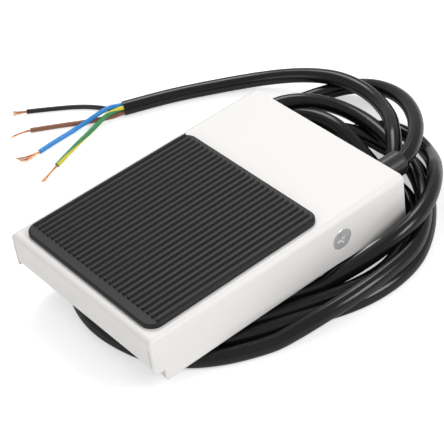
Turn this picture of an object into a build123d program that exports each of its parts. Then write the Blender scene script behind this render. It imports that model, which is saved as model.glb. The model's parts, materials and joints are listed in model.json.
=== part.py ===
from build123d import *
import math
import os

# A low foot switch: a folded steel treadle turns on two screws over a folded steel tray,
# a compression spring lifts it, and a striker under it presses a small snap-action switch.
# Frame: millimetres, +Z up, +Y to the rear where the cable leaves, floor at Z = 0.
# The switch lies on one layer of its own coiled cable.

# Driving dimensions
cable_d = 6.8
core_d = 2.2
strand_d = 1.2
sheet = 1.3
mat_t = 1.2

cover_w = 90.0
cover_front = -64.0
cover_rear = 63.5
front_flange = 13.7
side_flange_front = 15.9
side_flange_rear = 24.1
cover_bend = 2.4
corner_slit = 0.5

tray_w = 87.0
tray_front = -58.5
tray_rear = 60.0
tray_bend = 1.8
tray_floor = cable_d + mat_t
plate_top = tray_floor + 24.6
plate_under = plate_top - sheet
floor_top = tray_floor + sheet

pivot_y = 29.7
pivot_z = plate_top - 11.0
pivot_head_r = 4.7
pivot_hole_r = 4.78
pivot_shank_r = 2.5

tread_x = 41.0
tread_front = -60.0
tread_rear = 23.5
tread_base = 1.9
tread_rib = 0.9
tread_corner = 5.5
rib_pitch = 2.9
rib_count = 28
rib_half_foot = 0.68
rib_half_crest = 0.3

boot_x = 26.0
boot_z = 20.0
boot_rim_y = 80.0

spring_y = -34.0
spring_mean_r = 5.0
spring_wire_r = 0.6

switch_x = 8.0
switch_w = 6.4
switch_len = 19.8
switch_h = 10.2
switch_front = -3.4
switch_low = floor_top + 5.9
switch_top = switch_low + switch_h
lever_y = 15.0
lever_z = switch_top + 0.2
lever_slope = 8.0
striker_y = -3.0
plunger_y = lever_y - 5
bracket_t = 1.0
rivet_x = 17.5
rivet_ys = (1.0, 12.0)
rivet_r = 1.6

earth_x = -20.0
earth_y = 40.0
earth_tag_t = 0.8
earth_washer_t = 0.6

parts_dir = "parts"
os.makedirs(parts_dir, exist_ok=True)


def save(part, name):
    part.label = name
    export_step(part, os.path.join(parts_dir, name + ".step"))


def bend_radii(points):
    """One radius for each corner of a route, as large as its two runs allow."""
    corners = [Vector(*p) for p in points]
    radii = []
    for before, here, after in zip(corners, corners[1:], corners[2:]):
        run_in, run_out = here - before, after - here
        half_turn = math.radians(run_in.get_angle(run_out) / 2)
        shorter = min(run_in.length, run_out.length)
        radii.append(0.45 * shorter / math.tan(half_turn))
    return radii


def tube(points, radius):
    """A round cord along straight runs joined by tangent arcs."""
    with BuildPart() as cord:
        with BuildLine() as route:
            FilletPolyline(*points, radius=bend_radii(points))
        path = route.wires()[0]
        with BuildSketch(Plane(origin=path @ 0, z_dir=path % 0)):
            Circle(radius)
        sweep()
    length = path.length
    expected = math.pi * radius**2 * length
    print(f"  length {length:.1f} mm, volume against section x length "
          f"{cord.part.volume / expected:.4f}, smallest radius {min(bend_radii(points)):.1f} mm")
    return cord.part


# Treadle cover: top plate, front flange and two side flanges, folded from one sheet
side_low = plate_top - side_flange_rear
cover_len = cover_rear - cover_front
with BuildPart() as cover_hollow:
    with BuildSketch(Plane.XY.offset(side_low - 1)):
        with Locations((0, cover_front + sheet)):
            Rectangle(cover_w - 2 * sheet, cover_len, align=(Align.CENTER, Align.MIN))
    extrude(amount=plate_under - side_low + 1)
    fillet(cover_hollow.faces().sort_by(Axis.Z)[-1].edges().sort_by(Axis.Y)[:-1], cover_bend - sheet)

with BuildPart() as pedal_cover:
    with BuildSketch(Plane.XY.offset(side_low)):
        with Locations((0, (cover_front + cover_rear) / 2)):
            Rectangle(cover_w, cover_len)
    extrude(amount=plate_top - side_low)
    fillet(pedal_cover.edges().filter_by(Axis.Z).group_by(Axis.Y)[0], 1.0)
    fillet(pedal_cover.faces().sort_by(Axis.Z)[-1].edges().sort_by(Axis.Y)[:-1], cover_bend)
    add(cover_hollow.part, mode=Mode.SUBTRACT)
    # The side flanges grow deeper towards the rear, where their corner is rounded
    with BuildSketch(Plane.YZ) as side_view:
        with BuildLine():
            Polyline(
                (cover_front, plate_top),
                (cover_front, plate_top - side_flange_front),
                (cover_rear, side_low),
                (cover_rear, plate_top),
                close=True,
            )
        make_face()
        fillet(side_view.vertices().sort_by(Axis.Z)[0], 2.0)
    extrude(amount=cover_w, both=True, mode=Mode.INTERSECT)
    # The front flange is shorter than the side flanges, with an open slit at each corner
    flange_inner = cover_w / 2 - sheet
    with BuildSketch(Plane.XZ.offset(-cover_front)):
        with Locations((0, plate_top - front_flange)):
            Rectangle(2 * flange_inner, cover_w, align=(Align.CENTER, Align.MAX))
        for side in (-1, 1):
            with Locations((side * (flange_inner - corner_slit / 2), plate_top - cover_bend - 1.6)):
                Rectangle(corner_slit, cover_w, align=(Align.CENTER, Align.MAX))
    extrude(amount=-2 * sheet, mode=Mode.SUBTRACT)
    with BuildSketch(Plane.YZ):
        with Locations((pivot_y, pivot_z)):
            Circle(pivot_hole_r)
    extrude(amount=cover_w, both=True, mode=Mode.SUBTRACT)
save(pedal_cover.part, "pedal_cover")

# Tread: a rubber pad with ribs that run from front to rear
with BuildPart() as tread_pad:
    with BuildSketch(Plane.XY.offset(plate_top)):
        with Locations((0, (tread_front + tread_rear) / 2)):
            RectangleRounded(2 * tread_x, tread_rear - tread_front, tread_corner)
    extrude(amount=tread_base)
    fillet(tread_pad.faces().sort_by(Axis.Z)[-1].edges(), 0.7)
    rib_front = tread_front + 4.6
    rib_rear = tread_rear - 2.2
    rib_section = [
        (-rib_half_foot, -0.3), (rib_half_foot, -0.3), (rib_half_foot, 0.1),
        (rib_half_crest, tread_rib), (-rib_half_crest, tread_rib), (-rib_half_foot, 0.1),
    ]
    with BuildSketch(Plane.XZ.offset(-rib_front)):
        with Locations((0, plate_top + tread_base)):
            with GridLocations(rib_pitch, 1, rib_count, 1):
                Polygon(*rib_section, align=None)
    extrude(amount=-(rib_rear - rib_front))
save(tread_pad.part, "tread_pad")

# Striker: a moulded button riveted under the plate, whose nose meets the lever
with BuildPart() as striker:
    with BuildSketch(Plane.XY.offset(plate_under)):
        with Locations((switch_x, striker_y)):
            Circle(5.0)
    extrude(amount=-0.9)
    with BuildSketch(Plane.XY.offset(plate_under - 0.9)):
        with Locations((switch_x, striker_y)):
            Circle(1.6)
    extrude(amount=-0.95)
    fillet(striker.edges().sort_by(Axis.Z)[0], 0.9)
save(striker.part, "striker")

# Spring seats and the compression spring between them
post_r = 3.7
seat_r = 7.0
with BuildPart() as spring_post:
    with BuildSketch(Plane.XY.offset(floor_top)):
        with Locations((0, spring_y)):
            Circle(seat_r)
    extrude(amount=1.5)
    with BuildSketch(Plane.XY.offset(floor_top + 1.5)):
        with Locations((0, spring_y)):
            Circle(post_r)
    extrude(amount=6.4)
    chamfer(spring_post.edges().sort_by(Axis.Z)[-1], 0.6)
save(spring_post.part, "spring_post")

with BuildPart() as spring_cap:
    with BuildSketch(Plane.XY.offset(plate_under)):
        with Locations((0, spring_y)):
            Circle(seat_r)
    extrude(amount=-1.3)
    with BuildSketch(Plane.XY.offset(plate_under - 1.3)):
        with Locations((0, spring_y)):
            Circle(post_r)
    extrude(amount=-5.3)
    chamfer(spring_cap.edges().sort_by(Axis.Z)[0], 0.6)
save(spring_cap.part, "spring_cap")

spring_low = floor_top + 1.5 + spring_wire_r
spring_high = plate_under - 1.3 - spring_wire_r
with BuildPart() as return_spring:
    with BuildLine(Plane(origin=(0, spring_y, spring_low))) as coil_line:
        Helix((spring_high - spring_low) / 6, spring_high - spring_low, spring_mean_r)
    with BuildSketch(Plane(origin=coil_line.line @ 0, z_dir=coil_line.line % 0)):
        RegularPolygon(spring_wire_r, 8)
    sweep(is_frenet=True)
save(return_spring.part, "return_spring")

# Tray: floor and four walls folded from one sheet, with a lip that the treadle rests on
wall_top = plate_top - 4.0
rivet_spots = [(rivet_x, rivet_y) for rivet_y in rivet_ys]
with BuildPart() as tray_hollow:
    with BuildSketch(Plane.XY.offset(floor_top)):
        with Locations((0, (tray_front + tray_rear) / 2)):
            Rectangle(tray_w - 2 * sheet, tray_rear - tray_front - 2 * sheet)
    extrude(amount=wall_top)
    fillet(tray_hollow.faces().sort_by(Axis.Z)[0].edges(), tray_bend - sheet)

with BuildPart() as base_tray:
    with BuildSketch(Plane.XY.offset(tray_floor)):
        with Locations((0, (tray_front + tray_rear) / 2)):
            Rectangle(tray_w, tray_rear - tray_front)
    extrude(amount=wall_top - tray_floor)
    fillet(base_tray.faces().sort_by(Axis.Z)[0].edges(), tray_bend)
    add(tray_hollow.part, mode=Mode.SUBTRACT)
    # The walls fall towards the front, where the treadle swings down over them
    with BuildSketch(Plane.YZ):
        with BuildLine():
            Polyline(
                (tray_front - 1, tray_floor + 15.6),
                (tray_front + 1.6, tray_floor + 15.6),
                (10, wall_top),
                (10, wall_top + 5),
                (tray_front - 1, wall_top + 5),
                close=True,
            )
        make_face()
    extrude(amount=tray_w, both=True, mode=Mode.SUBTRACT)
    # Rear lip, folded inwards
    with BuildSketch(Plane.XY.offset(wall_top - sheet)):
        with Locations((0, tray_rear - sheet)):
            Rectangle(78, 7.0, align=(Align.CENTER, Align.MAX))
    extrude(amount=sheet)
    # Open corners between the folded walls
    with BuildSketch(Plane.XY.offset(tray_floor + tray_bend)):
        for side in (-1, 1):
            for wall_y in (tray_front, tray_rear):
                with Locations((side * (tray_w / 2 - sheet - 0.3), wall_y)):
                    Rectangle(0.6, 2 * sheet)
    extrude(amount=wall_top, mode=Mode.SUBTRACT)
    # Pivot holes, cable hole, rivet holes and the tapped hole of the earth screw
    with BuildSketch(Plane.YZ):
        with Locations((pivot_y, pivot_z)):
            Circle(pivot_shank_r + 0.1)
    extrude(amount=tray_w, both=True, mode=Mode.SUBTRACT)
    with BuildSketch(Plane.XZ.offset(-tray_rear - 1)):
        with Locations((boot_x, boot_z)):
            Circle(4.35)
    extrude(amount=3 * sheet, mode=Mode.SUBTRACT)
    with BuildSketch(Plane.XY.offset(tray_floor - 1)):
        with Locations(*rivet_spots):
            Circle(rivet_r + 0.05)
        with Locations((earth_x, earth_y)):
            Circle(2.0)
    extrude(amount=3 * sheet, mode=Mode.SUBTRACT)
save(base_tray.part, "base_tray")

# Rest stop: a rubber strip on the rear lip
with BuildPart() as rest_stop:
    with BuildSketch(Plane.XY.offset(wall_top)):
        with Locations((0, tray_rear - sheet - 0.5)):
            Rectangle(70, 6.0, align=(Align.CENTER, Align.MAX))
    extrude(amount=plate_under - 0.1 - wall_top)
    fillet(rest_stop.faces().sort_by(Axis.Z)[-1].edges(), 0.6)
save(rest_stop.part, "rest_stop")

# Non-slip mat glued under the tray
with BuildPart() as base_mat:
    with BuildSketch(Plane.XY.offset(tray_floor - mat_t)):
        with Locations((0, (tray_front + tray_rear) / 2)):
            RectangleRounded(tray_w - 6, tray_rear - tray_front - 6, 4)
    extrude(amount=mat_t)
save(base_mat.part, "base_mat")

# Pivot screws with a flush round head that the side flange turns on, and their press nuts
head_outer = cover_w / 2 - 0.05
for side, name in ((1, "right"), (-1, "left")):
    tray_face = Plane(origin=(side * tray_w / 2, pivot_y, pivot_z), z_dir=(side, 0, 0))
    with BuildPart() as pivot_screw:
        with BuildSketch(tray_face):
            Circle(pivot_head_r)
        extrude(amount=head_outer - tray_w / 2)
        rim = pivot_screw.faces().sort_by(Axis.X)[-1 if side > 0 else 0].edges()
        chamfer(rim, 0.25)
        with BuildSketch(tray_face):
            Circle(pivot_shank_r)
        extrude(amount=-7.0)
        # Cross recess with its four small ribs between
        with BuildSketch(tray_face.offset(head_outer - tray_w / 2)):
            for turn in (20, 110):
                with Locations(Location((0, 0), turn)):
                    Rectangle(5.0, 1.1)
            Circle(1.3)
        extrude(amount=-0.9, mode=Mode.SUBTRACT)
    save(pivot_screw.part, "pivot_screw_" + name)

    with BuildPart() as press_nut:
        with BuildSketch(tray_face.offset(-sheet)):
            RegularPolygon(4.6, 6)
            Circle(pivot_shank_r + 0.02, mode=Mode.SUBTRACT)
        extrude(amount=-4.0)
    save(press_nut.part, "pivot_nut_" + name)

# Snap-action switch: case with a notch and two ears for the lever pin
case_low_x = switch_x - switch_w / 2
ear_t = 0.9
screw_spots = [(switch_front + 5.15, switch_low + 2.9), (switch_front + 14.65, switch_low + 2.9)]
with BuildPart() as switch_case:
    with BuildSketch(Plane.YZ.offset(case_low_x)) as case_side:
        with Locations((switch_front, switch_low)):
            Rectangle(switch_len, switch_h, align=(Align.MIN, Align.MIN))
        fillet(case_side.vertices(), 0.5)
        with Locations((lever_y, lever_z)):
            Rectangle(2.8, 2.4, mode=Mode.SUBTRACT)
    extrude(amount=switch_w)
    for ear_x in (case_low_x, case_low_x + switch_w - ear_t):
        with BuildSketch(Plane.YZ.offset(ear_x)):
            with Locations((lever_y, lever_z - 1.2)):
                SlotCenterPoint((0, 0), (0, 1.2), 2.8)
        extrude(amount=ear_t)
    with BuildSketch(Plane.YZ):
        with Locations((lever_y, lever_z)):
            Circle(0.5)
        with Locations(*screw_spots):
            Circle(1.2)
    extrude(amount=3 * switch_w, mode=Mode.SUBTRACT)
    with BuildSketch(Plane.XY.offset(switch_top)):
        with Locations((switch_x, plunger_y)):
            Circle(1.25)
    extrude(amount=-3.9, mode=Mode.SUBTRACT)
save(switch_case.part, "switch_case")

with BuildPart() as lever_pin:
    with BuildSketch(Plane.YZ.offset(case_low_x)):
        with Locations((lever_y, lever_z)):
            Circle(0.5)
    extrude(amount=switch_w)
save(lever_pin.part, "lever_pin")

# Plunger with a domed top, free to slide in the case
plunger_top = lever_z + 0.96
with BuildPart() as switch_plunger:
    with BuildSketch(Plane.XY.offset(switch_top - 2.7)):
        with Locations((switch_x, plunger_y)):
            Circle(1.2)
    extrude(amount=plunger_top - switch_top + 2.7)
    fillet(switch_plunger.edges().sort_by(Axis.Z)[-1], 0.7)
save(switch_plunger.part, "switch_plunger")

# Lever: a thin strip rolled round its pin at the rear and rising to the front
lever_t = 0.44
roll_r = 1.0
with BuildPart() as switch_lever:
    lever_side = Plane(
        origin=(switch_x - 2.0, lever_y, lever_z),
        x_dir=(0, -math.cos(math.radians(lever_slope)), math.sin(math.radians(lever_slope))),
        z_dir=(1, 0, 0),
    )
    up = 1 if lever_side.y_dir.Z > 0 else -1
    with BuildSketch(lever_side):
        Circle(roll_r)
        with Locations((9.8, up * (roll_r - lever_t / 2))):
            Rectangle(19.6, lever_t)
        Circle(0.56, mode=Mode.SUBTRACT)
    extrude(amount=4.0)
save(switch_lever.part, "switch_lever")

# Three solder lugs under the case
lug_names = ("lug_common", "lug_open", "lug_closed")
lug_ys = (0.2, 7.2, 13.6)
for name, lug_y in zip(lug_names, lug_ys):
    with BuildPart() as lug:
        with BuildSketch(Plane.YZ.offset(switch_x - 0.25)):
            with Locations((lug_y, switch_low)):
                Rectangle(3.2, 3.9, align=(Align.CENTER, Align.MAX))
            with Locations((lug_y, switch_low - 2.3)):
                Circle(0.75, mode=Mode.SUBTRACT)
        extrude(amount=0.5)
    save(lug.part, name)

# Bracket that carries the switch, its two rivets, and the switch's screws and nuts
plate_x = case_low_x + switch_w
with BuildPart() as switch_bracket:
    with BuildSketch(Plane.XZ.offset(3.0)):
        with BuildLine() as bracket_line:
            FilletPolyline(
                (plate_x + bracket_t / 2, floor_top + 14.5),
                (plate_x + bracket_t / 2, floor_top + bracket_t / 2),
                (plate_x + 11.0, floor_top + bracket_t / 2),
                radius=1.2,
            )
        trace(line_width=bracket_t)
    extrude(amount=-19.0)
    with BuildSketch(Plane.YZ.offset(plate_x - 0.5)):
        with Locations(*screw_spots):
            Circle(1.2)
    extrude(amount=2.0, mode=Mode.SUBTRACT)
    with BuildSketch(Plane.XY.offset(floor_top - 0.5)):
        with Locations(*rivet_spots):
            Circle(rivet_r + 0.05)
    extrude(amount=2.0, mode=Mode.SUBTRACT)
save(switch_bracket.part, "switch_bracket")

with BuildPart() as bracket_rivets:
    for spot in rivet_spots:
        with BuildSketch(Plane.XY.offset(tray_floor)):
            with Locations(spot):
                Circle(rivet_r)
        extrude(amount=sheet + bracket_t)
        with BuildSketch(Plane.XY.offset(floor_top + bracket_t)):
            with Locations(spot):
                Circle(2.8)
        extrude(amount=1.0, taper=25)
save(bracket_rivets.part, "bracket_rivets")

with BuildPart() as switch_screws:
    for spot in screw_spots:
        with BuildSketch(Plane.YZ.offset(case_low_x)):
            with Locations(spot):
                Circle(1.1)
        extrude(amount=switch_w + 3.4)
        with BuildSketch(Plane.YZ.offset(case_low_x)):
            with Locations(spot):
                Circle(2.0)
        extrude(amount=-1.3)
save(switch_screws.part, "switch_screws")

with BuildPart() as switch_nuts:
    for spot in screw_spots:
        with BuildSketch(Plane.YZ.offset(plate_x + bracket_t)):
            with Locations(spot):
                RegularPolygon(2.3, 6)
                Circle(1.12, mode=Mode.SUBTRACT)
        extrude(amount=1.6)
save(switch_nuts.part, "switch_nuts")

# Earth connection: ring tag, toothed washer and pan-head screw tapped into the tray
with BuildPart() as earth_tag:
    with BuildSketch(Plane.XY.offset(floor_top)):
        with Locations((earth_x, earth_y)):
            Circle(4.2)
        with Locations((earth_x + 7.5, earth_y)):
            Rectangle(9.0, 3.0)
        with Locations((earth_x, earth_y)):
            Circle(2.1, mode=Mode.SUBTRACT)
    extrude(amount=earth_tag_t)
save(earth_tag.part, "earth_tag")

with BuildPart() as earth_washer:
    with BuildSketch(Plane.XY.offset(floor_top + earth_tag_t)):
        with Locations((earth_x, earth_y)):
            Circle(3.6)
            with PolarLocations(3.6, 12):
                Rectangle(1.0, 0.9)
            Circle(2.1, mode=Mode.SUBTRACT)
    extrude(amount=earth_washer_t)
save(earth_washer.part, "earth_washer")

head_low = floor_top + earth_tag_t + earth_washer_t
head_h = 2.6
with BuildPart() as earth_screw:
    with BuildSketch(Plane.XY.offset(tray_floor)):
        with Locations((earth_x, earth_y)):
            Circle(1.98)
    extrude(amount=head_low - tray_floor)
    with BuildSketch(Plane.XY.offset(head_low)):
        with Locations((earth_x, earth_y)):
            Circle(3.8)
    extrude(amount=head_h)
    fillet(earth_screw.edges().sort_by(Axis.Z)[-1], 1.0)
    with BuildSketch(Plane.XY.offset(head_low + head_h)):
        with Locations((earth_x, earth_y)):
            Rectangle(4.4, 1.0)
            Rectangle(1.0, 4.4)
    extrude(amount=-1.4, mode=Mode.SUBTRACT)
save(earth_screw.part, "earth_screw")

# Rubber boot in the rear wall, with a groove that the wall snaps into
cable_r = cable_d / 2
with BuildPart() as cable_boot:
    with BuildSketch(Plane(origin=(boot_x, 0, boot_z))) as boot_half:
        with BuildLine():
            Polyline(
                (cable_r, tray_rear - 4.2),
                (5.8, tray_rear - 4.2),
                (5.8, tray_rear - sheet),
                (4.3, tray_rear - sheet),
                (4.3, tray_rear),
                (5.7, tray_rear),
                (5.4, boot_rim_y),
                (cable_r, boot_rim_y),
                close=True,
            )
        make_face()
        rim = boot_half.vertices().group_by(Axis.Y)[-1].sort_by(Axis.X)[-1]
        fillet(rim, 1.5)
    revolve(axis=Axis((boot_x, 0, boot_z), (0, 1, 0)))
save(cable_boot.part, "cable_boot")

# Cable inside the tray, held against the boot by a tie, and its four leads
jacket_end = 42.0
tie_y = 46.0
with BuildPart() as inner_cable:
    with BuildSketch(Plane.XZ.offset(-jacket_end)):
        with Locations((boot_x, boot_z)):
            Circle(cable_r)
    extrude(amount=-(boot_rim_y - jacket_end))
save(inner_cable.part, "inner_cable")

with BuildPart() as cable_tie:
    with BuildSketch(Plane.XZ.offset(-tie_y)):
        with Locations((boot_x, boot_z)):
            Circle(cable_r + 1.1)
            with Locations((0, cable_r + 2.2)):
                Rectangle(4.6, 3.6)
            Circle(cable_r, mode=Mode.SUBTRACT)
    extrude(amount=-2.6)
save(cable_tie.part, "cable_tie")

core_r = core_d / 2
spread = 1.3
lug_z = switch_low - 2.3
lug_face_x = switch_x - 0.25
tag_top = floor_top + earth_tag_t + 0.02
inner_routes = {
    "lead_black": [
        (boot_x + spread, jacket_end, boot_z + spread),
        (boot_x + spread, 38.6, boot_z + spread),
        (boot_x - 8, 34.6, boot_z + 0.4),
        (3.0, 31.4, lug_z + 2.6),
        (-6.4, 25.4, lug_z),
        (-8.6, 13.0, lug_z),
        (-5.6, 3.0, lug_z),
        (1.6, lug_ys[0], lug_z),
        (lug_face_x, lug_ys[0], lug_z),
    ],
    "lead_blue": [
        (boot_x - spread, jacket_end, boot_z - spread),
        (boot_x - spread, 37.0, boot_z - spread),
        (boot_x - 12, 31.0, boot_z - 4.6),
        (3.4, 26.4, lug_z + 0.6),
        (-3.2, 20.0, lug_z),
        (-3.8, 13.4, lug_z),
        (0.8, lug_ys[1], lug_z),
        (lug_face_x, lug_ys[1], lug_z),
    ],
    "lead_brown": [
        (boot_x + spread, jacket_end, boot_z - spread),
        (boot_x + spread, 33.0, boot_z - spread),
        (boot_x - 10, 24.4, lug_z + 1.4),
        (7.0, 21.8, lug_z),
        (1.2, 18.4, lug_z),
        (2.6, lug_ys[2], lug_z),
        (lug_face_x, lug_ys[2], lug_z),
    ],
    "lead_earth": [
        (boot_x - spread, jacket_end, boot_z + spread),
        (boot_x - spread, 40.0, boot_z + spread),
        (boot_x - 8, 39.4, boot_z + 3.4),
        (boot_x - 18, 40.2, boot_z - 1.4),
        (-0.4, earth_y, floor_top + 3.4),
        (-7.2, earth_y, tag_top + core_r),
        (-15.0, earth_y, tag_top + core_r),
    ],
}
for name, route in inner_routes.items():
    print(name)
    save(tube(route, core_r), name)

# Free cable: from the boot in a falling loop to the coil, and from the coil to its bare end
gland_route = [
    (26.0, 80.0, 20.0),
    (26.0, 87.4, 20.0),
    (23.7, 95.9, 19.7),
    (18.2, 104.7, 18.6),
    (9.6, 111.9, 16.6),
    (-0.8, 117.0, 14.0),
    (-12.3, 120.3, 11.2),
    (-24.5, 120.7, 8.2),
    (-35.7, 116.4, 5.6),
    (-44.4, 108.1, 4.0),
    (-49.8, 97.0, 3.4),
    (-52.7, 85.2, 3.4),
]
free_route = [
    (2.0, 97.0, 9.8),
    (-11.0, 103.0, 10.6),
    (-24.0, 106.8, 11.0),
    (-37.0, 107.4, 11.1),
    (-50.0, 104.8, 10.9),
    (-62.5, 99.6, 7.6),
    (-74.5, 92.8, 4.8),
    (-85.0, 84.2, 3.5),
    (-93.0, 73.0, 3.4),
    (-99.9, 60.9, 3.4),
    (-106.0, 49.0, 3.4),
    (-111.2, 37.5, 3.4),
]
print("cable_loop")
save(tube(gland_route, cable_r), "cable_loop")
print("cable_tail")
save(tube(free_route, cable_r), "cable_tail")

# Stripped end: four cores fan out of the jacket and end in bare strands
end_point = Vector(*free_route[-1])
end_dir = (end_point - Vector(*free_route[-2])).normalized()
out = Vector(end_dir.Y, -end_dir.X, 0)


def core_exit(across, up):
    """The first two points of a core: on the jacket's end face, and straight out of it."""
    start = end_point + out * (across * spread) + Vector(0, 0, up * 1.25)
    ahead = start + end_dir * 5.5
    return [tuple(start), tuple(ahead)]


core_routes = {
    "core_black": core_exit(1, 1) + [(-119.0, 28.0, 3.9), (-127.6, 24.0, 2.0),
                                     (-138.0, 17.0, 1.15), (-148.0, 7.3, 1.15)],
    "core_brown": core_exit(1, -1) + [(-117.4, 25.2, 1.5), (-122.8, 17.4, 1.15),
                                      (-128.8, 9.2, 1.15), (-134.5, 0.1, 1.15)],
    "core_blue": core_exit(-1, 1) + [(-113.9, 24.8, 4.3), (-116.4, 17.8, 3.2),
                                     (-118.0, 9.8, 1.7), (-118.6, 1.6, 1.15), (-117.8, -6.3, 1.15)],
    "core_earth": core_exit(-1, -1) + [(-111.9, 24.0, 1.5), (-111.0, 16.8, 1.15),
                                       (-109.2, 9.4, 1.15), (-106.6, 1.6, 1.15), (-103.7, -6.6, 1.15)],
}
strand_len = 7.5
for name, route in core_routes.items():
    print(name)
    save(tube(route, core_r), name)
    tip = Vector(*route[-1])
    tip_dir = (tip - Vector(*route[-2])).normalized()
    with BuildPart() as strands:
        with BuildSketch(Plane(origin=tip, z_dir=tip_dir)):
            Circle(strand_d / 2)
        extrude(amount=strand_len)
    save(strands.part, name.replace("core", "strands"))

# Coil: one solid of the outer shape of the turns, two layers high clear of the switch
coil_left, coil_front, coil_right, coil_rear = (-64.4, 36.0), (-6.0, -60.6), (65.0, 34.0), (-12.0, 117.2)
hole_left, hole_front, hole_right, hole_rear = (-28.0, 36.0), (4.0, -26.0), (34.0, 36.0), (-4.0, 84.0)
bow = 0.62


def oval(left, front, right, rear):
    """A closed outline through its four outermost points, squarer than an ellipse."""
    stops = [left, front, right, rear, left]
    for here, after in zip(stops, stops[1:]):
        upright = here in (left, right)
        corner = (here[0], after[1]) if upright else (after[0], here[1])
        pull_a = tuple(a + bow * (c - a) for a, c in zip(here, corner))
        pull_b = tuple(b + bow * (c - b) for b, c in zip(after, corner))
        Bezier(here, pull_a, pull_b, after)


layer_two = cable_d + 5.8
with BuildPart() as cable_coil:
    with BuildSketch(Plane.XY):
        with BuildLine():
            oval(coil_left, coil_front, coil_right, coil_rear)
        make_face()
        with BuildLine(mode=Mode.PRIVATE) as hole_line:
            oval(hole_left, hole_front, hole_right, hole_rear)
        add(make_face(hole_line.edges(), mode=Mode.PRIVATE), mode=Mode.SUBTRACT)
    extrude(amount=cable_d)
    with BuildSketch(Plane.XY.offset(cable_d)):
        with BuildLine():
            oval((-50.0, 66.0), (0.0, -10.0), (61.6, 34.0), (-8.0, 113.6))
        make_face()
        with BuildLine(mode=Mode.PRIVATE) as inner_line:
            oval((-40.0, 60.0), (0.0, -30.0), (46.6, 34.0), (0.0, 86.0))
        add(make_face(inner_line.edges(), mode=Mode.PRIVATE), mode=Mode.SUBTRACT)
        with Locations((0, 60)):
            Rectangle(93.2, 14, mode=Mode.SUBTRACT)
        with Locations((-10, 0)):
            Rectangle(113.2, 134, mode=Mode.SUBTRACT)
    extrude(amount=layer_two - cable_d)
save(cable_coil.part, "cable_coil")
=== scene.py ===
# %% [markdown]
# A low foot switch of folded, powder-coated steel. Its black cable is coiled loosely
# beneath it and ends in four stripped cores. The rigid parts come from the imported CAD
# model, in metres, +Z up and +Y to the rear. This notebook gives them their finishes
# and models what CAD leaves plain: the cable, its copper strands and the return spring.

# %% Load the frame
import bpy
import json
import math
import random
from mathutils import Matrix, Vector


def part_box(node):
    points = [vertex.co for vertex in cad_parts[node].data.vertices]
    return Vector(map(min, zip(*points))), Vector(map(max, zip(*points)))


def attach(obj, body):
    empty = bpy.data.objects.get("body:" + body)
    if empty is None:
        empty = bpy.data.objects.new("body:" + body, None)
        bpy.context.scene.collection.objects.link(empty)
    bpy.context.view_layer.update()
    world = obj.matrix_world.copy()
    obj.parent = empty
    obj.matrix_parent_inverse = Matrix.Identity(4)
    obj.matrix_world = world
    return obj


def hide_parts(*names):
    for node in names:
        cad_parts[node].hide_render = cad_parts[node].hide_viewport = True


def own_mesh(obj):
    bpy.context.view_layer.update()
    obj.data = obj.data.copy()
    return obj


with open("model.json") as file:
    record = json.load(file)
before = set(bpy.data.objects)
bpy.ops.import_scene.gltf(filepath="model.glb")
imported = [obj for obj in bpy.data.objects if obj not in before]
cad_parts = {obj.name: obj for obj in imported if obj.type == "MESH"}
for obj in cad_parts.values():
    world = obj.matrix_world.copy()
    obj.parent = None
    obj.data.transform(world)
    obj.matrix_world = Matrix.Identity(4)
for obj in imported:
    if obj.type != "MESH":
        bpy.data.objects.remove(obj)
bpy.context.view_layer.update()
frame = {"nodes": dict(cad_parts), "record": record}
scene = bpy.context.scene
mm = 0.001
print("loaded", len(frame["nodes"]), "nodes")

# %% [markdown]
# The camera stands to the right of the switch, in front of it and above. Close by, it
# would draw the near corner too large. It stands far off with a long lens instead,
# which keeps the edges nearly parallel. Its place and its three axes were worked out
# from the cover's edges, so they are written down here and not aimed by eye.

# %% Camera
sideways = Vector((0.63721, 0.76132, -0.11979))
upwards = Vector((-0.43802, 0.48564, 0.75650))
backwards = Vector((0.63412, -0.42958, 0.64293))
camera_place = (0.39870, -0.26419, 0.42386)
bpy.ops.object.camera_add()
camera = bpy.context.object
camera.name = "camera"
camera.data.lens = 127.7
camera.data.sensor_width = 36
camera.data.clip_end = 10
turn = Matrix((sideways, upwards, backwards)).transposed()
camera.matrix_world = Matrix.Translation(camera_place) @ turn.to_4x4()
scene.camera = camera
scene.view_settings.view_transform = "Standard"
print("camera", [round(v, 3) for v in camera.location])

# %% [markdown]
# The floor is a plain pale sheet. Pale paint alone looks grey in soft light, and
# stronger lamps would wash out the cover. So the paint also glows a little, for the
# camera only: the Light Path node tells the camera's rays from all others. The glow
# doesn't light the switch, and the shadow stays on the floor.

# %% Floor
floor_size, floor_glow = 6, 0.5
bpy.ops.object.select_all(action="DESELECT")
bpy.ops.mesh.primitive_plane_add(size=floor_size, location=(0, 0, 0))
floor = bpy.context.object
floor.name = "floor"
floor_paint = bpy.data.materials.new("pale floor")
floor_paint.use_nodes = True
floor_nodes, floor_links = floor_paint.node_tree.nodes, floor_paint.node_tree.links
floor_shader = floor_nodes["Principled BSDF"]
floor_shader.inputs["Base Color"].default_value = (0.9, 0.9, 0.9, 1)
floor_shader.inputs["Roughness"].default_value = 0.9
floor_shader.inputs["Emission Color"].default_value = (1, 1, 1, 1)
seen = floor_nodes.new("ShaderNodeLightPath")
glow = floor_nodes.new("ShaderNodeMath")
glow.operation = "MULTIPLY"
glow.inputs[1].default_value = floor_glow
floor_links.new(seen.outputs["Is Camera Ray"], glow.inputs[0])
floor_links.new(glow.outputs["Value"], floor_shader.inputs["Emission Strength"])
floor.data.materials.append(floor_paint)
print("floor", floor_size, "m wide")

# %% [markdown]
# Three square soft boxes light the switch: one above at the rear left, one at the
# right, and a weaker, broader one in front. The top is then the brightest face. The
# first box stands opposite the camera, so that the ribs of the tread catch its light.
# One strong lamp would leave hard shadows. A pale world fills those that are left.


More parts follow.
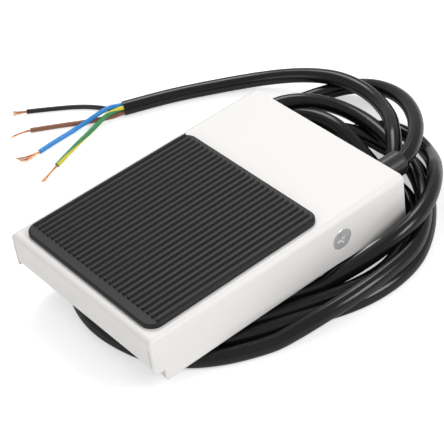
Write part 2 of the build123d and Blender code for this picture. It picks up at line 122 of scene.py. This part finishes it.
# %% Lamps and world
def lamp(name, place, aim, width, power):
    """A square soft box at place, turned towards aim."""
    bpy.ops.object.light_add(type="AREA", location=place)
    light = bpy.context.object
    light.name = name
    light.data.size = width
    light.data.energy = power
    look = Vector(aim) - Vector(place)
    light.rotation_euler = look.to_track_quat("-Z", "Y").to_euler()


lamp("top box", place=(-0.5, 0.36, 0.72), aim=(0, 0, 0), width=0.42, power=3.1)
lamp("right box", place=(0.75, 0.35, 0.6), aim=(0, 0, 0.02), width=0.4, power=3.9)
lamp("front box", place=(0.15, -0.9, 0.3), aim=(0, 0, 0.02), width=0.6, power=1.5)
world = bpy.data.worlds.new("pale room")
scene.world = world
world.use_nodes = True
room_light = world.node_tree.nodes["Background"]
room_light.inputs["Color"].default_value = (1, 1, 1, 1)
room_light.inputs["Strength"].default_value = 0.46
print("three lamps and a pale world")

# %% [markdown]
# Paint, rubber, plastic and metal start here as the same small group of nodes: a
# colour that drifts a little over the surface, a roughness that drifts with it, and a
# fine bump. A painted picture would need unwrapping first. Noise on Object coordinates
# doesn't, and it stays put when a part moves.


# %% A finish with grain
def finish(name, colour, rough, grain, bump, drift, metallic=0.0, specular=0.5):
    """A material whose colour drifts slightly and whose surface has a fine grain."""
    material = bpy.data.materials.new(name)
    material.use_nodes = True
    nodes, links = material.node_tree.nodes, material.node_tree.links
    shader = nodes["Principled BSDF"]
    shader.inputs["Metallic"].default_value = metallic
    shader.inputs["Specular IOR Level"].default_value = specular
    place = nodes.new("ShaderNodeTexCoord")
    slow = nodes.new("ShaderNodeTexNoise")
    slow.inputs["Scale"].default_value = 45
    slow.inputs["Detail"].default_value = 4
    links.new(place.outputs["Object"], slow.inputs["Vector"])
    ramp = nodes.new("ShaderNodeValToRGB")
    dark = [c * (1 - drift) for c in colour]
    light = [min(1, c * (1 + drift)) for c in colour]
    ramp.color_ramp.elements[0].position = 0.3
    ramp.color_ramp.elements[0].color = (*dark, 1)
    ramp.color_ramp.elements[1].position = 0.7
    ramp.color_ramp.elements[1].color = (*light, 1)
    links.new(slow.outputs["Fac"], ramp.inputs["Fac"])
    links.new(ramp.outputs["Color"], shader.inputs["Base Color"])
    uneven = 0.05
    spread = nodes.new("ShaderNodeMapRange")
    spread.inputs["To Min"].default_value = max(0.02, rough - uneven)
    spread.inputs["To Max"].default_value = min(1, rough + uneven)
    links.new(slow.outputs["Fac"], spread.inputs["Value"])
    links.new(spread.outputs["Result"], shader.inputs["Roughness"])
    fine = nodes.new("ShaderNodeTexNoise")
    fine.inputs["Scale"].default_value = grain
    fine.inputs["Detail"].default_value = 3
    links.new(place.outputs["Object"], fine.inputs["Vector"])
    relief = nodes.new("ShaderNodeBump")
    relief.inputs["Strength"].default_value = 1.0
    relief.inputs["Distance"].default_value = bump * mm
    links.new(fine.outputs["Fac"], relief.inputs["Height"])
    links.new(relief.outputs["Normal"], shader.inputs["Normal"])
    return material


print("a finish has a drifting colour and roughness, and a grain")

# %% [markdown]
# Each finish is kept under the name of its material slot in the CAD record. The powder
# coat is smooth, pale and warm, the tread is dull, and the boot and the cable are
# shinier. The pivot screws are bright zinc. Full metal would mirror only the black
# cable beside them and look black too, so this zinc is only half metallic.

# %% The finishes
finishes = {
    "white_paint": finish("warm white powder coat", (0.90, 0.885, 0.865), 0.42,
                          grain=1100, bump=0.012, drift=0.006),
    "tray_paint": finish("tray powder coat", (0.92, 0.905, 0.88), 0.45,
                         grain=1100, bump=0.012, drift=0.008),
    "tread_rubber": finish("tread rubber", (0.017, 0.017, 0.018), 0.5,
                           grain=2200, bump=0.02, drift=0.12, specular=0.3),
    "boot_rubber": finish("boot rubber", (0.016, 0.016, 0.017), 0.3,
                          grain=1600, bump=0.01, drift=0.1, specular=0.7),
    "cable_jacket": finish("cable sheath", (0.006, 0.006, 0.007), 0.22,
                           grain=700, bump=0.008, drift=0.1, specular=0.42),
    "core_black": finish("black insulation", (0.009, 0.009, 0.01), 0.3,
                         grain=900, bump=0.004, drift=0.08),
    "core_blue": finish("blue insulation", (0.025, 0.28, 0.76), 0.34,
                        grain=900, bump=0.004, drift=0.05),
    "core_brown": finish("brown insulation", (0.29, 0.115, 0.065), 0.34,
                         grain=900, bump=0.004, drift=0.08),
    "copper": finish("bare copper", (0.86, 0.43, 0.22), 0.28,
                     grain=3000, bump=0.004, drift=0.08, metallic=1.0),
    "zinc": finish("bright zinc", (0.93, 0.93, 0.94), 0.3,
                   grain=1500, bump=0.004, drift=0.03, metallic=0.55),
    "spring_steel": finish("spring steel", (0.6, 0.6, 0.62), 0.25,
                           grain=1500, bump=0.003, drift=0.03, metallic=1.0),
    "nylon": finish("natural nylon", (0.83, 0.81, 0.74), 0.5,
                    grain=1300, bump=0.006, drift=0.02),
    "switch_plastic": finish("filled moulding", (0.03, 0.03, 0.033), 0.5,
                             grain=1800, bump=0.012, drift=0.1),
    "brass": finish("plain brass", (0.82, 0.62, 0.3), 0.3,
                    grain=1800, bump=0.004, drift=0.04, metallic=1.0),
}
print(len(finishes), "finishes")

# %% [markdown]
# The fourth core is green with a yellow stripe that runs along it and slowly turns.
# Object coordinates know nothing of a bent core's length, so the stripe is drawn in
# the core's own UV map: U runs along the length and V round the section. Adding some U
# to V makes the stripe turn.


# %% The striped insulation
def striped(name, twist):
    """Green with a yellow stripe over a third of the way round, turning twist times."""
    yellow, green = (0.80, 0.70, 0.05, 1), (0.04, 0.27, 0.09, 1)
    green_from, green_to = 0.25, 0.86
    material = bpy.data.materials.new(name)
    material.use_nodes = True
    nodes, links = material.node_tree.nodes, material.node_tree.links
    shader = nodes["Principled BSDF"]
    shader.inputs["Roughness"].default_value = 0.34
    place = nodes.new("ShaderNodeTexCoord")
    parts = nodes.new("ShaderNodeSeparateXYZ")
    links.new(place.outputs["UV"], parts.inputs["Vector"])
    turned = nodes.new("ShaderNodeMath")
    turned.operation = "MULTIPLY_ADD"
    turned.inputs[1].default_value = twist
    links.new(parts.outputs["X"], turned.inputs[0])
    links.new(parts.outputs["Y"], turned.inputs[2])
    wave = nodes.new("ShaderNodeMath")
    wave.operation = "FRACT"
    links.new(turned.outputs["Value"], wave.inputs[0])
    ramp = nodes.new("ShaderNodeValToRGB")
    ramp.color_ramp.interpolation = "CONSTANT"
    ramp.color_ramp.elements[0].color = yellow
    ramp.color_ramp.elements[1].position = green_from
    ramp.color_ramp.elements[1].color = green
    last = ramp.color_ramp.elements.new(green_to)
    last.color = yellow
    links.new(wave.outputs["Value"], ramp.inputs["Fac"])
    links.new(ramp.outputs["Color"], shader.inputs["Base Color"])
    return material


stripe_twist = -0.85
finishes["core_green_yellow"] = striped("green and yellow insulation", stripe_twist)
print("the stripe turns", abs(stripe_twist), "times along its core")

# %% [markdown]
# The CAD nodes arrive with plain colours. Each gives those up and gets the finish of
# its own slot, which the record names. Doing this from the record instead of by hand
# means that no node is left out.

# %% Finishes on the carried-over nodes
slots = {part["node"]: part["material_slot"] for part in frame["record"]["subparts"]}
for node, piece in frame["nodes"].items():
    piece.data.materials.clear()
    piece.data.materials.append(finishes[slots[node]])
print("finished", len(slots), "carried-over nodes")

# %% [markdown]
# The cable is one length from the boot to its stripped end: a falling loop, five
# loose turns and a free end. It has no plain shape that a primitive could start from,
# so its points are listed one by one. The loop and the free end have heights. The turns
# are only drawn from above, and the next steps give them their heights. Turns under
# the tray lie side by side, because the tray stands on them.

# %% The cable's points, in millimetres
cable_r = 3.4
from_boot = [
    (26, 80, 20), (25.8, 84, 20), (20, 94, 19.4), (12, 103.4, 18), (2, 111, 16), (-9, 117, 13.5),
    (-20.6, 120.2, 10.8), (-32.4, 120.6, 7.9), (-43, 116.4, 5.2), (-50, 106.6, 3.8),
    (-54.2, 94.6, 3.4), (-56.8, 80.5, 3.4),
]
to_end = [
    (-1.6, 101.4, 15.6), (-11.6, 107.4, 12.7), (-22.6, 111.7, 11.4), (-34, 113, 11.1),
    (-46, 111.6, 10.8), (-57.4, 107.2, 9.6), (-68.4, 101, 7.6), (-78.4, 93.4, 5.4), (-87, 84, 4),
    (-94.4, 73.2, 3.5), (-101, 62, 3.4), (-106.8, 50, 3.4), (-112, 37.6, 3.4),
]
coil_turns = {
    "outer": [
        (-58.4, 64), (-59.6, 44), (-60, 22), (-58.6, 3), (-54, -16), (-46, -33), (-34.5, -46),
        (-20.5, -54), (-5, -57), (11, -55.4), (25, -51), (36, -44), (44.4, -33.6), (50.2, -22.6),
        (54.4, -11.6), (57.6, -1), (60, 9), (61.4, 18.6), (61.8, 28), (61.4, 37), (60.6, 46),
        (58.8, 54), (54.8, 62), (49.2, 69.4), (42.8, 76.2), (35.4, 82.2), (27, 87.4), (17.4, 91.2),
        (6.6, 94), (-5, 96), (-17, 96), (-29, 92), (-38.8, 83.2), (-44.8, 73), (-46.6, 59.6),
    ],
    "proud": [
        (-46.8, 40), (-46.2, 22), (-45, 6), (-41, -9.8), (-34.5, -24), (-25.4, -34.4),
        (-14.6, -40.8), (-3, -43), (8.2, -41.4), (18, -37.6), (26, -31.2), (32.6, -23),
        (38.2, -12.6), (42.8, -2.4), (46.8, 7), (50.6, 16.6), (53.4, 26.8), (54.9, 37),
        (54.2, 46.4), (50.8, 54.6), (46.6, 63), (41, 71.2), (33.2, 77.8), (23.2, 81), (12, 81.4),
        (0, 82.4), (-12, 83.2), (-24, 82.4), (-35, 78.4), (-44.4, 71.4), (-50.6, 61.6), (-53, 50),
    ],
    "under": [
        (-53.4, 40), (-53.2, 22), (-51.8, 4.4), (-47.6, -13), (-40.3, -28.6), (-30, -40.4),
        (-17.6, -47.4), (-4, -50), (9.5, -48.4), (21.5, -44.2), (31.4, -36.8), (39, -26.6),
        (44.6, -15.4), (49.2, -4.6), (53.4, 5.4), (57.4, 14.6), (60.2, 23.4), (61.6, 32.4),
        (61.6, 41), (60.4, 49.4), (58, 57), (53.6, 64.8), (48, 72.6), (41, 80.2), (32.8, 87.4),
        (23.6, 93.8), (13, 97.2), (2, 97.4), (-8, 94), (-18, 87.6), (-27.4, 80.2), (-34.6, 71.2),
        (-38.6, 60.6), (-39.8, 48),
    ],
    "hidden": [
        (-39.9, 38), (-39.2, 22), (-38.2, 7.6), (-34.5, -6.8), (-28.7, -19.4), (-20.8, -28.6),
        (-11.6, -34.2), (-2, -36), (6.8, -34.4), (14.8, -30.6), (21.6, -24.2), (27.6, -15.8),
        (32.6, -6.2), (36.8, 3.6), (40.6, 12.8), (44.3, 21.4), (47.8, 29.8), (50.7, 38.2),
        (52.8, 46.6), (53.4, 56), (51.8, 65), (47.6, 74.6), (41, 84), (32.8, 92.8), (23.6, 100.8),
        (13, 107.4),
    ],
    "tucked": [
        (2, 109.6), (-8.6, 108), (-16, 101.6), (-20, 92.8), (-22.4, 83), (-25.6, 73.2), (-29.2, 63),
    ],
    "inner": [
        (-31.8, 50.4), (-32.2, 39), (-32.2, 22), (-31.4, 9.2), (-28, -3.6), (-23, -14.8),
        (-16.2, -22.6), (-8.6, -27.4), (-1.2, -28.9), (5.8, -27.7), (12, -24), (17.2, -18),
        (21.4, -10), (25.2, -1), (29.2, 8), (32.6, 17.6), (35, 27.6), (35.8, 38), (35.2, 48.4),
        (33.4, 58.4), (30, 67.4), (25, 75.6), (19.4, 82.6), (13, 89), (6, 95.4),
    ],
}
print(len(coil_turns), "stretches of the coil drawn from above")

# %% [markdown]
# A curve of order 3 rounds off every corner of its points. If each leg is cut at a
# quarter and at three quarters of its length, and the cuts become the new points, the
# curve seen from above stays the same, with twice as many points whose height can be
# set. Drawing them all by hand would take twice as long and be less even.

# %% Twice as many points
quarters = (0.25, 0.75)
coil, turn_of = [], []
stops = [(name, stop) for name, turn in coil_turns.items() for stop in turn]
for (name, here), (_, after) in zip(stops, stops[1:]):
    for share in quarters:
        x = here[0] + share * (after[0] - here[0])
        y = here[1] + share * (after[1] - here[1])
        coil.append([x, y, cable_r])
        turn_of.append(name)
travelled = [0]
for here, after in zip(coil, coil[1:]):
    travelled.append(travelled[-1] + math.dist(here[:2], after[:2]))
print(len(coil), "points in the coil,", round(travelled[-1]), "mm of cable seen from above")

# %% [markdown]
# A real cable climbs over another in a low hump: round on top, then down a steady
# slope to the floor. The first rule below gives that hump. The second gives the height
# at which a point rests on a piece of cable that is already laid. The sheath is soft,
# so the centres of two strands that touch are a little nearer than their thickness. A
# simulation could lay the cable too, but two rules are quick and repeat exactly.

# %% Two small rules for the heights
steepest = 0.45
hump_r = 30
pressed_together = 6.5
side_by_side = 6.3


def fall(far):
    """How much lower a strand lies at a distance from where it rests on another."""
    if far < hump_r * steepest:
        return far**2 / (2 * hump_r)
    return steepest * far - hump_r * steepest**2 / 2


def resting(x, y, strand):
    """The height of a point of the cable that rests on one laid piece of strand, or 0."""
    a, b = Vector(strand[0]), Vector(strand[1])
    run = (b - a).xy
    share = min(1, max(0, (Vector((x, y)) - a.xy).dot(run) / run.length_squared))
    nearest = a.lerp(b, share)
    gap = math.dist((x, y), nearest.xy)
    if gap >= side_by_side:
        return 0
    return nearest.z + math.sqrt(pressed_together**2 - gap**2)


print("a strand falls", round(fall(20), 1), "mm over 20 mm")

# %% [markdown]
# Now the turns are laid one after another, as a hand would lay them. Each point lies
# on the floor or rests on what is already there, and its neighbours come down from it
# by the rule of the hump. A stiff cable doesn't sag between two humps, so low points
# between higher neighbours are then raised to the middle of them.

# %% Lay the turns on each other
laid_in_order = ["tucked", "under", "proud", "outer", "hidden", "inner"]
same_bend = 7
hump_points = 16
off_floor = 0.3
raises = 4
laid = []
for name in laid_in_order:
    own = [i for i, turn_name in enumerate(turn_of) if turn_name == name]
    propped = []
    for i in own:
        others = [coil[j:j + 2] for j in laid if abs(i - j) > same_bend]
        rest = max([resting(*coil[i][:2], strand) for strand in others], default=0)
        if rest > coil[i][2]:
            propped.append((i, rest))
    for i, rest in propped:
        for j in range(max(0, i - hump_points), min(len(coil), i + hump_points + 1)):
            coil[j][2] = max(coil[j][2], rest - fall(abs(travelled[i] - travelled[j])))
    for i in raises * own[1:-1]:
        if coil[i][2] > cable_r + off_floor:
            coil[i][2] = max(coil[i][2], (coil[i - 1][2] + coil[i + 1][2]) / 2)
    laid += [i for i in own if i + 1 < len(coil)]
print("the coil's highest point is at", round(max(p[2] for p in coil), 1), "mm")

# %% [markdown]
# A cable is round and bends evenly. It could be a tube swept by a modifier, but an
# open NURBS curve of order 3 with a round bevel stays smooth however its points fall,
# and its own line is the centre of the cord, which can be measured. The same function
# makes the cores and the copper wires.


# %% A cord through points
def cord_curve(name, points, radius, material, sides):
    """An open NURBS cord through control points in millimetres."""
    shape = bpy.data.curves.new(name, "CURVE")
    shape.dimensions = "3D"
    shape.resolution_u = 4
    shape.bevel_depth = radius * mm
    shape.bevel_resolution = sides
    shape.use_fill_caps = True
    line = shape.splines.new("NURBS")
    line.points.add(len(points) - 1)
    for point, (x, y, z) in zip(line.points, points):
        point.co = (x * mm, y * mm, z * mm, 1)
    line.order_u = 3
    line.use_endpoint_u = True
    shape.materials.append(material)
    piece = bpy.data.objects.new(name, shape)
    bpy.context.collection.objects.link(piece)
    return piece


def length_of(points):
    """Length of a polyline, in metres."""
    return sum(math.dist(a, b) for a, b in zip(points, points[1:])) * mm


print("the free end is", round(length_of(to_end), 3), "m long")

# %% [markdown]
# Loop, coil and free end are one cable on the real switch, so they are one curve here.
# Three pieces would show joints where they meet. It takes the place of the three plain
# solids that stand for it in CAD.

# %% The cable as one curve
cable_points = from_boot + [tuple(p) for p in coil] + to_end
cable = cord_curve("cable", cable_points, cable_r, finishes["cable_jacket"], 7)
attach(cable, "base")
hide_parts("cable_loop", "cable_coil", "cable_tail")
print("cable", round(length_of(cable_points), 3), "m along its points")

# %% [markdown]
# Four insulated cores leave the cut sheath and fan out over the floor. Each is a thin
# cord that ends where its insulation is stripped. Their routes are short and all
# different, so they are listed one by one, and the value lying is the height of a core on
# the floor. Only the first two points of each are worked out, because the cores sit
# two above two in the sheath. The upper pair, blue and earth, comes down over the
# lower pair.

# %% The routes of the cores
core_offset = 1.25
straight_out = 1.8
lying = 1.15
end = Vector(to_end[-1])
ahead = (end - Vector(to_end[-2])).normalized()
aside = Vector((ahead.y, -ahead.x, 0))


def leaving(across, up):
    """A core's first two points: in the sheath's end face, and straight out of it."""
    start = end + aside * (across * core_offset) + Vector((0, 0, up * core_offset))
    return [tuple(start), tuple(start + ahead * straight_out)]


core_points = {
    "black": leaving(1, -1) + [
        (-116.8, 34.9, 1.6), (-120.8, 33.8, 1.25), (-125.2, 31.4, lying), (-129.6, 28.2, lying),
        (-134.2, 23.9, lying), (-141, 16, lying), (-148, 7.3, lying),
    ],
    "brown": leaving(-1, -1) + [
        (-112.8, 33.2, 1.4), (-114.8, 29.8, lying), (-117, 25.6, lying), (-121, 19.4, lying),
        (-127.6, 10.4, lying), (-134.5, 0.1, lying),
    ],
    "blue": leaving(1, 1) + [
        (-115.6, 33.8, 4.8), (-116.6, 30, 4.5), (-117, 25.6, 3.9), (-117.8, 20.6, 2.6),
        (-118.6, 14.6, 1.5), (-118.8, 8, lying), (-118.6, 1.6, lying), (-117.8, -6.3, lying),
    ],
    "earth": leaving(-1, 1) + [
        (-112.7, 33.4, 4), (-113.4, 30.2, 3.8), (-113.6, 26.8, 3), (-113.2, 22.6, 1.8),
        (-111.8, 16.6, lying), (-109.6, 9.4, lying), (-106.8, 1.6, lying), (-103.7, -6.6, lying),
    ],
}
print("cores", {name: round(length_of(route), 3) for name, route in core_points.items()}, "m")

# %% [markdown]
# With the routes ready, a loop makes the four cores. They could be one piece with four
# materials, but they are separate things on the real cable, and a separate piece can
# be measured and bent by itself.

# %% Cores
core_r = 1.1
core_slots = {
    "black": "core_black",
    "brown": "core_brown",
    "blue": "core_blue",
    "earth": "core_green_yellow",
}
cores = {}
for colour, points in core_points.items():
    core = cord_curve("insulation_" + colour, points, core_r, finishes[core_slots[colour]], 4)
    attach(core, "base")
    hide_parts("core_" + colour)
    cores[colour] = core
print(len(cores), "cores")

# %% [markdown]
# The bare end of a core is a bundle of fine copper wires, and no two bundles look
# alike. The black core's bundle has two stray wires. The brown one turns aside in one
# bunch. The blue one opens to a wide fan, and the earth bundle stays nearly straight.
# A few values for each bundle say this, and one loop can then make all the wires.

# %% How each bundle spreads
# colour: number of wires, length, spread at the tip, turn of the whole bunch, strays
bunches = {
    "black": (14, 7.0, 1.9, 0.0, 2),
    "brown": (16, 9.0, 0.7, 0.30, 1),
    "blue": (20, 9.5, 3.4, -0.30, 0),
    "earth": (16, 12.5, 0.3, 0.02, 0),
}
print(sum(count for count, *_ in bunches.values()), "copper wires")

# %% [markdown]
# A wire starts inside the cut insulation, stays in the bundle for a while, then leaves
# it to one side and sinks to the floor. The share t goes from 0 in the insulation to 1
# at the tip. Terms with t squared come in late, which is how a springy wire behaves.
# A hair system would give thousands of wires quickly, but not these few as they lie.

# %% The route of one wire
wire_r = 0.1
wire_steps = 5
held_inside = 0.8
gathering, flattening, tip_share = 0.3, 0.5, 0.4
lift, droop, arch = 0.3, 0.9, 0.4
lowest = wire_r + 0.02


def wire_route(tip, along, across, side, rise, fan, far, turned):
    """Points of one wire, from inside the insulation to its free tip."""
    route = []
    for step in range(wire_steps + 1):
        t = step / wire_steps
        place = tip + along * (far * t - held_inside * (1 - t))
        in_bundle = side * (1 - gathering * t) * (1 - t * t)
        fanned = (side * tip_share + fan) * t * t
        place += across * (in_bundle + fanned - turned * t * t)
        height = tip.z + rise * (1 - flattening * t) + (lift - droop * t) * t * arch
        route.append((place.x, place.y, max(lowest, height)))
    return route


print("each wire has", wire_steps + 1, "points")

# %% [markdown]
# Each wire sits in the round section by the golden angle, as seeds do in a sunflower,
# which fills it evenly. Spread and length vary a little at random, and the seed gives
# every run the same wires. The wires of one core are turned into meshes and joined,
# because nobody would handle them one by one.

# %% Copper strands
bunch_r = 0.5
golden_angle = 2.399963
stray_spread = 2.2
dice = random.Random(7)
for colour, (count, reach, spread, bend, strays) in bunches.items():
    points = core_points[colour]
    tip = Vector(points[-1])
    along = (tip - Vector(points[-2])).normalized()
    across = Vector((along.y, -along.x, 0)).normalized()
    wires = []
    for number in range(count):
        angle = golden_angle * number
        out = bunch_r * math.sqrt((number + 0.5) / count)
        side, rise = out * math.cos(angle), out * math.sin(angle)
        stray = stray_spread if number < strays else 1.0
        fan = spread * (side / bunch_r) * stray + dice.uniform(-0.25, 0.25)
        far = reach * dice.uniform(0.88, 1.05)
        route = wire_route(tip, along, across, side, rise, fan, far, bend * reach)
        wires.append(cord_curve(f"wire_{colour}_{number}", route, wire_r, finishes["copper"], 1))
    bpy.ops.object.select_all(action="DESELECT")
    for wire in wires:
        wire.select_set(True)
    bpy.context.view_layer.objects.active = wires[0]
    bpy.ops.object.convert(target="MESH")
    bpy.ops.object.join()
    bunch = bpy.context.object
    bunch.name = "copper_" + colour
    bunch.data.name = bunch.name
    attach(bunch, "base")
    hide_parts("strands_" + colour)
    core = cores[colour]
    print(bunch.name, len(bunch.data.polygons), "faces")

# %% [markdown]
# The return spring is a helix of round wire between a post and a cap. Rings set above
# each other would not be one wire, so a Screw modifier sweeps a small circle up and
# round the spring's axis, and the two ends are closed. The spring shortens when the
# treadle goes down.

# %% Return spring
low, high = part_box("return_spring")
spring_axis = ((low[0] + high[0]) / 2, (low[1] + high[1]) / 2)
coil_r, spring_wire_r = 5 * mm, 0.6 * mm
spring_turns, steps_per_turn = 6, 24
bpy.ops.object.select_all(action="DESELECT")
bpy.ops.mesh.primitive_circle_add(vertices=10, radius=spring_wire_r, fill_type="NOTHING",
                                  location=(coil_r, 0, spring_wire_r), rotation=(math.pi / 2, 0, 0))
spring = bpy.context.object
spring.name = "steel_spring"
bpy.ops.object.transform_apply(location=True, rotation=True, scale=True)
sweep = spring.modifiers.new("sweep", "SCREW")
sweep.angle = spring_turns * 2 * math.pi
sweep.screw_offset = high[2] - low[2] - 2 * spring_wire_r
sweep.steps = steps_per_turn * spring_turns
sweep.render_steps = steps_per_turn * spring_turns
bpy.ops.object.modifier_apply(modifier="sweep")
spring.location = (spring_axis[0], spring_axis[1], low[2])
bpy.ops.object.transform_apply(location=True, rotation=True, scale=True)
bpy.ops.object.mode_set(mode="EDIT")
bpy.ops.mesh.select_all(action="SELECT")
bpy.ops.mesh.fill_holes(sides=12)
bpy.ops.mesh.normals_make_consistent(inside=False)
bpy.ops.object.mode_set(mode="OBJECT")
bpy.ops.object.shade_smooth_by_angle(angle=math.radians(60))
spring.data.materials.append(finishes["spring_steel"])
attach(spring, "base")
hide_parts("return_spring")
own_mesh(spring)
print("spring", [round(v / mm, 1) for v in spring.dimensions], "mm")
